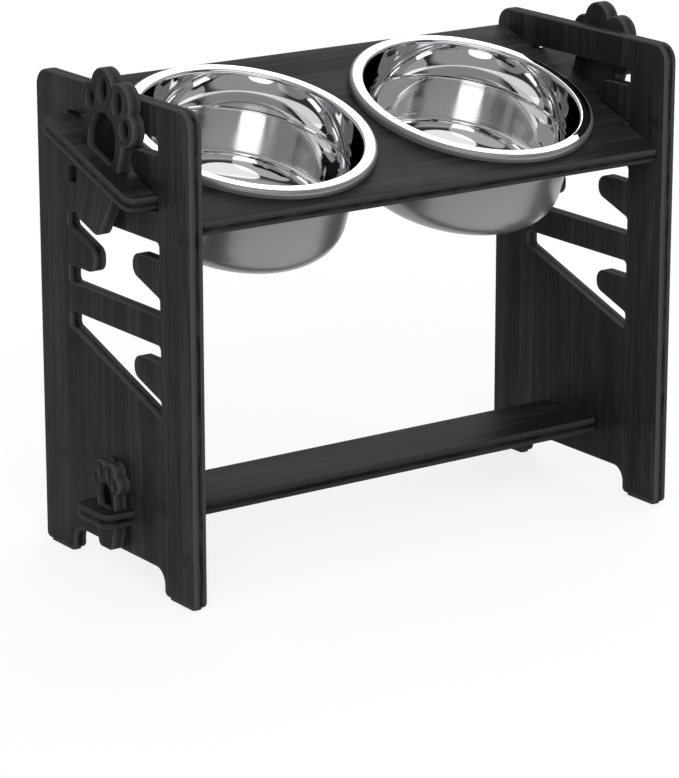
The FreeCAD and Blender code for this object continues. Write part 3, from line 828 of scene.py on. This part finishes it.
def wood_material(name, centre, turn=(0, 0, 0), core=1.0, shade=1.0, plies=1.0):
    """Black stained bamboo ply. centre and turn carry a board to its grain: X through it, Z along the grain.

    core is how much the ply's middle shows along the edges, shade darkens the whole colour and sheen as painted
    shade, and plies the edges.
    """
    finish, groups = settings().finish, bpy.data.node_groups
    _, wiring, shader = new_material(name)
    mapped = {"Vector": wiring.place(), "Location": centre, "Rotation": turn}
    vector = wiring.node("Mapping", mapped, vector_type="TEXTURE").outputs["Vector"]
    # shade below one darkens the stain, the light stain and the sheen: painted shade
    inputs = {"Vector": vector, "Dark": shaded(finish.stain_dark), "Stain": shaded(finish.stain, shade)}
    inputs["Light"] = shaded(finish.stain_light, shade)
    grain = wiring.node("Group", inputs, node_tree=groups["Stained Bamboo"]).outputs
    inputs = {"Vector": vector, "Dark": shaded(finish.stain_dark), "Color": grain["Color"]}
    inputs.update({"Light": shaded(finish.stain_light, shade * plies), "Core Strength": core})
    ply = wiring.node("Group", inputs, node_tree=groups["Ply Edge"]).outputs
    inputs = {"Base Color": ply["Color"], "Specular IOR Level": 0.04 * shade}
    inputs["Roughness"] = wiring.math("MULTIPLY_ADD", ply["Edge"], 0.08, grain["Roughness"])
    inputs["Normal"] = wiring.bump(grain["Height"], distance=0.00012, strength=0.8)
    wiring.fill(shader, inputs)


def steel_material(name, colour, roughness, metallic):
    """Steel with a slight smear and ripple."""
    _, wiring, shader = new_material(name)
    place = wiring.place()
    ripple = wiring.noise(place, (1, 1, 1), 22, 2)
    smear = wiring.noise(place, (1, 1, 3), 60, 4)
    inputs = {"Base Color": shaded(colour), "Metallic": metallic}
    inputs["Roughness"] = wiring.math("MULTIPLY_ADD", smear, 0.03, roughness)
    inputs["Normal"] = wiring.bump(ripple, distance=0.0002, strength=0.04)
    wiring.fill(shader, inputs)


def rubber_material():
    """Matt black rubber with a fine pebble and dust."""
    _, wiring, shader = new_material("Pad rubber")
    place = wiring.place()
    pebble = wiring.noise(place, (1, 1, 1), 1500, 2)
    dust = wiring.noise(place, (1, 1, 1), 120, 3)
    clean, dusty = (shaded(settings().finish.rubber, part) for part in (0.6, 1.5))
    inputs = {"Base Color": wiring.mix(dust, clean, dusty)}
    inputs["Roughness"] = wiring.math("MULTIPLY_ADD", dust, 0.2, 0.7)
    inputs["Normal"] = wiring.bump(pebble, distance=0.0001, strength=0.4)
    wiring.fill(shader, inputs)


class OBJECT_OT_bowl_stand_finishes(bpy.types.Operator):
    """Make the node groups and materials of the stand"""

    bl_idname = "object.bowl_stand_finishes"
    bl_label = "Finishes"

    def execute(self, context):
        bamboo_group()
        ply_group()
        tilt, finish = settings().boards.tilt, settings().finish
        leaned = (tilt, 0, 0)
        # the boards' grain runs across the stand
        turned = Matrix.Rotation(math.pi / 2, 3, "Y")
        leaned_turned = Matrix.Rotation(tilt, 3, "X") @ turned
        for hand, side in HANDS:
            name, key = f"Black bamboo, {hand}", side * key_middle()
            # each piece's grain starts at a place of its own
            wood_material(f"{name} panel", (side * panel_middle(), 0.4 * side, 0.1 * side))
            wood_material(f"{name} board key", (key, 0.7, 0.3 * side), leaned, core=0.6)
            wood_material(f"{name} stretcher key", (key, 1.1, 0.5 * side), core=0.6)
        # painted shade: the keys' recess floors and fillets get the wood at 0.35 of its colour and sheen, where
        # the recesses lie in shadow
        wood_material("Painted shade, key recesses", (0, 0, 0), leaned, core=0.0, shade=0.35)
        wood_material("Black bamboo, board", board_middle(), leaned_turned.to_euler(), plies=0.75)
        wood_material("Black bamboo, stretcher", stretcher_middle(), turned.to_euler(), plies=0.6)
        steel_material("Polished steel", finish.steel, roughness=0.01, metallic=1.0)
        # painted shade: the outside steel is a darker, less metallic copy of the polished steel, standing in
        # for dim reflections
        steel_material("Satin steel, painted shade", finish.shaded_satin, roughness=0.28, metallic=0.65)
        steel_material("Brushed steel", finish.brushed, roughness=0.26, metallic=1.0)
        rubber_material()
        return {"FINISHED"}


class OBJECT_OT_bowl_stand_panels(bpy.types.Operator):
    """Build the two side panels with their zigzag windows"""

    bl_idname = "object.bowl_stand_panels"
    bl_label = "Side Panels"

    def execute(self, context):
        boards = settings().boards
        loops = panel_loops()
        for hand, side in HANDS:
            origin = (side * panel_middle(), 0, 0)
            mesh = slab_mesh(f"{hand}_panel", loops, boards.thickness, boards.rounding, origin, STANDING)
            add_piece(mesh, "stand", f"{hand}_side_panel", WOOD, f"Black bamboo, {hand} panel")
        return {"FINISHED"}


class OBJECT_OT_bowl_stand_board(bpy.types.Operator):
    """Build the tilted board that carries the bowls"""

    bl_idname = "object.bowl_stand_board"
    bl_label = "Bowl Board"

    def execute(self, context):
        boards, bowls = settings().boards, settings().bowls
        tongue = (boards.tongue_width, boards.tongue_radius)
        loops = tongued_loops(boards.depth, boards.board_radius, *tongue, settings().keys.neck)
        hole, apart = 2 * (bowls.wall_radius + boards.hole_gap), bowls.spacing / 2
        loops += [oval_hole(side * apart, 0, hole, hole, BOARD_HOLE_STEPS) for _, side in HANDS]
        axes = tilted_axes(boards.tilt)
        name, middle = "board_with_tongues", board_middle()
        mesh = slab_mesh(name, loops, boards.thickness, boards.rounding, middle, axes)
        add_piece(mesh, "stand", "bowl_board", WOOD, "Black bamboo, board")
        return {"FINISHED"}


class OBJECT_OT_bowl_stand_stretcher(bpy.types.Operator):
    """Build the level stretcher between the panels"""

    bl_idname = "object.bowl_stand_stretcher"
    bl_label = "Stretcher"

    def execute(self, context):
        boards, keys = settings().boards, settings().keys
        width, tenon = boards.stretcher_width, (boards.tenon_width, boards.tenon_radius)
        loops = tongued_loops(width, boards.stretcher_radius, *tenon, keys.small_share * keys.neck)
        mesh = slab_mesh("stretcher", loops, boards.thickness, boards.rounding, stretcher_middle(), LYING)
        add_piece(mesh, "stand", "bottom_stretcher", WOOD, "Black bamboo, stretcher")
        return {"FINISHED"}


class OBJECT_OT_bowl_stand_keys(bpy.types.Operator):
    """Build the four paw-shaped wedge keys"""

    bl_idname = "object.bowl_stand_keys"
    bl_label = "Paw Keys"

    def execute(self, context):
        boards, keys = settings().boards, settings().keys
        _, slope, out = tilted_axes(boards.tilt)
        stretcher_top = np.array([0, 0, boards.stretcher_gap + boards.thickness])
        for kind, scale, middle, along, up in (
            ("board", 1.0, board_top(), slope, out),
            ("stretcher", keys.small_share, stretcher_top, np.array([0, 1, 0]), (0, 0, 1)),
        ):
            loops = paw_loops(scale)
            rounding = keys.rounding * (1 - keys.small_rounding * (1 - scale))
            for hand, side in HANDS:
                # the recesses face away from the panels
                axes = (side * along, up, (side, 0, 0))
                origin = middle + (side * key_middle(), 0, 0)
                mesh = slab_mesh(f"{hand}_{kind}_paw_key", loops, keys.thickness, rounding, origin, axes)
                node, finish = f"{hand}_{kind}_key", f"Black bamboo, {hand} {kind} key"
                # the recesses' floors and fillets take the second material, painted shade
                add_piece(mesh, f"{node}_body", node, WOOD, finish, "Painted shade, key recesses")
        return {"FINISHED"}


class OBJECT_OT_bowl_stand_bowls(bpy.types.Operator):
    """Build the two steel bowls"""

    bl_idname = "object.bowl_stand_bowls"
    bl_label = "Bowls"

    def execute(self, context):
        axes = tilted_axes(settings().boards.tilt)
        profile, finish = bowl_profile()
        for hand, side in HANDS:
            centre = board_top() + (side * settings().bowls.spacing / 2, 0, 0)
            mesh = spun_mesh(f"{hand}_steel_bowl", profile, finish, centre, axes, BOWL_STEPS)
            add_piece(mesh, f"{hand}_bowl_body", f"{hand}_bowl", STEEL, *BOWL_FINISHES)
        return {"FINISHED"}


class OBJECT_OT_bowl_stand_pads(bpy.types.Operator):
    """Build the thin rubber pads under the feet"""

    bl_idname = "object.bowl_stand_pads"
    bl_label = "Foot Pads"

    def execute(self, context):
        boards = settings().boards
        radius, height = boards.pad_radius, boards.pad_height
        near = boards.arch_width / 2 + boards.foot_radius
        far = boards.depth / 2 - boards.foot_radius
        half = boards.thickness / 2 - boards.pad_inset
        for hand, side in HANDS:
            for end_name, end in ENDS:
                low, high = sorted((end * near, end * far))
                loop = rounded_loop(mirrored([(half, high, radius), (half, low, radius)]))
                origin = (side * panel_middle(), 0, height / 2)
                name = f"{hand}_{end_name}"
                shape = (height, boards.pad_rounding, origin, LYING, PAD_EDGE_STEPS)
                mesh = slab_mesh(f"{name}_pad", [loop], *shape)
                add_piece(mesh, "stand", f"{name}_foot_pad", RUBBER, "Pad rubber")
        return {"FINISHED"}


class OBJECT_OT_bowl_stand_stage(bpy.types.Operator):
    """Build the floor, lights, world and camera"""

    bl_idname = "object.bowl_stand_stage"
    bl_label = "Stage"

    def execute(self, context):
        self.add_floor()
        self.add_lights()
        self.add_world(context.scene)
        self.add_camera(context.scene)
        return {"FINISHED"}

    def add_floor(self):
        """A matt floor that looks nearly white to the camera, in steel and in glass, and keeps its shadow."""
        reach, whiteness = 30.0, 0.8
        corners = reach * np.array([(-1, -1, 0), (1, -1, 0), (1, 1, 0), (-1, 1, 0)])
        mesh = make_mesh("studio_floor", corners, np.array([[0, 1, 2, 3]]), np.zeros((0, 3), int))
        material, wiring, shader = new_material("Studio floor")
        colour = shaded(settings().finish.floor)
        wiring.fill(shader, {"Base Color": colour, "Roughness": 0.9, "Specular IOR Level": 0.0})
        rays = wiring.node("LightPath").outputs
        seen = wiring.math("ADD", rays["Is Camera Ray"], rays["Is Glossy Ray"])
        seen = wiring.math("ADD", seen, rays["Is Transmission Ray"], clamp=True)
        seen = wiring.math("MULTIPLY", seen, whiteness)
        white = wiring.node("Emission").outputs[0]
        both = wiring.node("MixShader", enumerate((seen, shader.outputs[0], white))).outputs[0]
        wiring.fill(material.node_tree.nodes["Material Output"], {"Surface": both})
        mesh.materials.append(material)
        new_object("studio_floor", mesh)

    def add_lights(self):
        """Soft suns, each given by where it stands, its strength and how wide it is, in degrees."""
        for name, azimuth, elevation, strength, width in (
            ("overhead_light", 0, 75, 0.7, 50),
            ("front_light", -30, 28, 1.90, 40),
        ):
            light = bpy.data.lights.new(name, "SUN")
            light.energy = strength
            light.angle = math.radians(width)
            lamp = new_object(name, light)
            lamp.rotation_euler = (math.radians(90 - elevation), 0, math.radians(azimuth))
            # the steel shows the world's walls and lamps instead
            lamp.visible_glossy = False

    def add_world(self, scene):
        """A dark room with a glow along the horizon, and pale walls and lamps, each a disc in the sky.

        A disc has a direction, the cosines of the angles from it at which it starts and is full, and a
        strength.
        """
        world = bpy.data.worlds.new("Studio")
        world.use_nodes = True
        wiring = Wiring(world.node_tree)
        sky = wiring.node("TexCoord").outputs["Generated"]
        glow = wiring.mask(wiring.axes(sky)[2], 0.26, 0.10)
        level = wiring.math("MULTIPLY_ADD", glow, 0.40, 0.04)
        for toward, start, full, strength in (
            ((0.15, 0.55, 0.82), 0.38, 0.60, 0.36),
            ((0.55, 0.49, 0.68), 0.915, 0.935, 2.0),
            ((-0.74, -0.58, 0.33), 0.86, 0.88, 0.42),
            ((-0.10, -0.70, 0.71), 0.905, 0.92, 0.95),
            ((0.84, -0.39, 0.38), 0.88, 0.91, 0.26),
        ):
            pair = (sky, toward / np.linalg.norm(toward))
            facing = wiring.node("VectorMath", enumerate(pair), operation="DOT_PRODUCT").outputs["Value"]
            level = wiring.math("MULTIPLY_ADD", wiring.mask(facing, start, full), strength, level)
        wiring.fill(world.node_tree.nodes["Background"], {"Strength": level, "Color": (1, 1, 1, 1)})
        scene.world = world

    def add_camera(self, scene):
        """The camera stands where the photograph was taken from, and looks along a bearing and a dip."""
        azimuth, dip, roll = 0.611030, 0.284598, -0.0011189
        level = np.array([math.sin(azimuth), math.cos(azimuth), 0])
        ahead = math.cos(dip) * level - (0, 0, math.sin(dip))
        right = np.cross(level, (0, 0, 1))
        up = np.cross(right, ahead)
        sine, cosine = math.sin(roll), math.cos(roll)
        right, up = cosine * right + sine * up, cosine * up - sine * right
        data = bpy.data.cameras.new("photo_camera")
        data.sensor_width = 36
        data.sensor_fit = "HORIZONTAL"
        data.lens = 191.49
        camera = new_object("photo_camera", data)
        camera.location = (-1.680576, -2.368525, 0.965765)
        camera.rotation_euler = Matrix(np.stack([right, up, -ahead], 1).tolist()).to_euler()
        scene.camera = camera
        scene.view_settings.view_transform = "Standard"


class VIEW3D_PT_bowl_stand(bpy.types.Panel):
    """Sizes, colours and building steps of the stand"""

    bl_label = "Elevated Dog Bowl Stand"
    bl_idname = "VIEW3D_PT_bowl_stand"
    bl_space_type = "VIEW_3D"
    bl_region_type = "UI"
    bl_category = "Bowl Stand"

    def draw(self, context):
        stand = settings()
        for group in (stand.boards, stand.windows, stand.keys, stand.bowls, stand.finish):
            box = self.layout.box()
            for name in group.__annotations__:
                box.prop(group, name)
        for operator in OPERATORS:
            self.layout.operator(operator.bl_idname)


PROPERTY_GROUPS = (
    BowlStandBoards,
    BowlStandWindows,
    BowlStandKeys,
    BowlStandBowls,
    BowlStandFinish,
    BowlStandSettings,
)
OPERATORS = (
    OBJECT_OT_bowl_stand_finishes,
    OBJECT_OT_bowl_stand_stage,
    OBJECT_OT_bowl_stand_panels,
    OBJECT_OT_bowl_stand_board,
    OBJECT_OT_bowl_stand_stretcher,
    OBJECT_OT_bowl_stand_keys,
    OBJECT_OT_bowl_stand_bowls,
    OBJECT_OT_bowl_stand_pads,
)
CLASSES = (*PROPERTY_GROUPS, *OPERATORS, VIEW3D_PT_bowl_stand)


def register():
    """Makes the settings, operators and panel known to Blender."""
    for item in CLASSES:
        bpy.utils.register_class(item)
    bpy.types.Scene.bowl_stand = bpy.props.PointerProperty(
        type=BowlStandSettings, name="Bowl stand", description="Sizes and colours of the stand"
    )


def unregister():
    """Takes the settings, operators and panel away again."""
    del bpy.types.Scene.bowl_stand
    for item in reversed(CLASSES):
        bpy.utils.unregister_class(item)


def main():
    """Builds everything."""
    register()
    bpy.ops.object.bowl_stand_finishes()
    bpy.ops.object.bowl_stand_stage()
    bpy.ops.object.bowl_stand_panels()
    bpy.ops.object.bowl_stand_board()
    bpy.ops.object.bowl_stand_stretcher()
    bpy.ops.object.bowl_stand_keys()
    bpy.ops.object.bowl_stand_bowls()
    bpy.ops.object.bowl_stand_pads()


if __name__ == "__main__":
    main()
